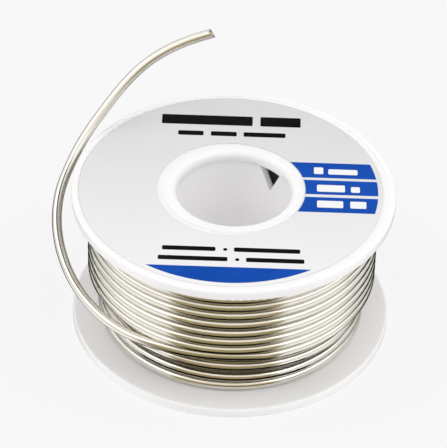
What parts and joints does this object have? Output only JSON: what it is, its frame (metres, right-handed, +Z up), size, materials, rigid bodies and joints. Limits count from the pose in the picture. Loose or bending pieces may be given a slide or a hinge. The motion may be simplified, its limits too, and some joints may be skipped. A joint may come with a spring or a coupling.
{
  "type": "solder wire spool",
  "caption": "Round flanged plastic spool wound with soft solder wire, with a central spindle bore, a ring label and one springy free wire end.",
  "frame": {"origin": "middle of the underside, on the spool's axis", "axes": "+Z up along the spool's axis towards the labelled flange; +X to the right as the label is read; the free wire leaves at the front left"},
  "size_m": [0.0692, 0.065, 0.0499],
  "materials": {
    "spool_plastic": "moulded white polystyrene, satin gloss",
    "label_paper": null,
    "solder": "bright drawn tin-copper wire",
    "flux": "amber rosin"
  },
  "bodies": {
    "root": {"bore_sleeve": "spool_plastic", "hub_ribs": "spool_plastic", "drum": "spool_plastic", "bottom_flange": "spool_plastic", "top_flange": "spool_plastic", "top_label": "label_paper", "wire_start": "solder", "winding_layer_1": "solder", "winding_layer_2": "solder", "winding_layer_3": "solder", "free_wire": "solder", "flux_core": "flux"}
  },
  "joints": []
}
